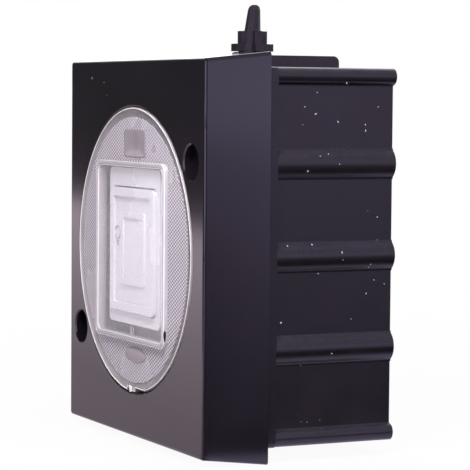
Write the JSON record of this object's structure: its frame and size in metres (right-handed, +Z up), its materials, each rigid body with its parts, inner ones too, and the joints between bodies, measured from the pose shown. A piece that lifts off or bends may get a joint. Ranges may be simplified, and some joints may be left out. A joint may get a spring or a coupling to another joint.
{
  "type": "weatherproof press switch",
  "caption": "Square weatherproof press light switch: clear membrane in a black flared frame, deep ribbed box, rubber cable gland on top",
  "frame": {"origin": "centre of the back box's flat rear face, which lies against the wall", "axes": "+Z up with the cable gland on top, -Y is the face of the switch, +X is the viewer's right"},
  "size_m": [0.0844, 0.0501, 0.1056],
  "materials": {
    "box_plastic": "satin black moulding with dust specks",
    "bezel_plastic": "polished black moulding",
    "clear_vinyl": "clear soft vinyl, slightly grey",
    "housing_plastic": "dark grey moulding",
    "screw_steel": "zinc plated steel",
    "rubber": "matt black rubber",
    "plated_steel": "zinc plated sheet",
    "white_plastic": "white moulding, slight gloss",
    "spring_steel": "bright spring wire",
    "brass": "rolled brass",
    "contact_silver": "silver alloy contact tips"
  },
  "bodies": {
    "housing": {"back_box": "box_plastic", "front_bezel": "bezel_plastic", "clear_membrane": "clear_vinyl", "retaining_ring": "housing_plastic", "ring_screws": "screw_steel", "bezel_gasket": "rubber", "cable_gland": "rubber", "mounting_strap": "plated_steel", "strap_screws": "screw_steel", "bezel_screws": "screw_steel", "screw_seals": "rubber", "switch_cover": "white_plastic", "switch_body": "housing_plastic", "return_spring": "spring_steel", "fixed_tips": "contact_silver", "fixed_contact_left": "brass", "fixed_contact_right": "brass", "terminal_clamps": "brass", "terminal_screws": "screw_steel"},
    "key": {"rocker": "white_plastic"},
    "pusher": {"plunger": "white_plastic", "contact_bridge": "brass", "bridge_tips": "contact_silver"}
  },
  "joints": [
    {"name": "rocker_press", "type": "hinge", "parent": "housing", "child": "key", "pos_m": [0, -0.045, 0.0132], "axis": [1, 0, 0], "range_deg": [0, 5], "stiffness_Nm_per_rad": 0.2, "springref_deg": -5.73},
    {"name": "plunger_travel", "type": "slide", "parent": "housing", "child": "pusher", "axis": [0, 1, 0], "range_m": [0, 0.00178], "deforming": ["return_spring"]}
  ],
  "couplings": [
    {"joint": "plunger_travel", "follows": "rocker_press", "m_per_rad": 0.0203}
  ]
}
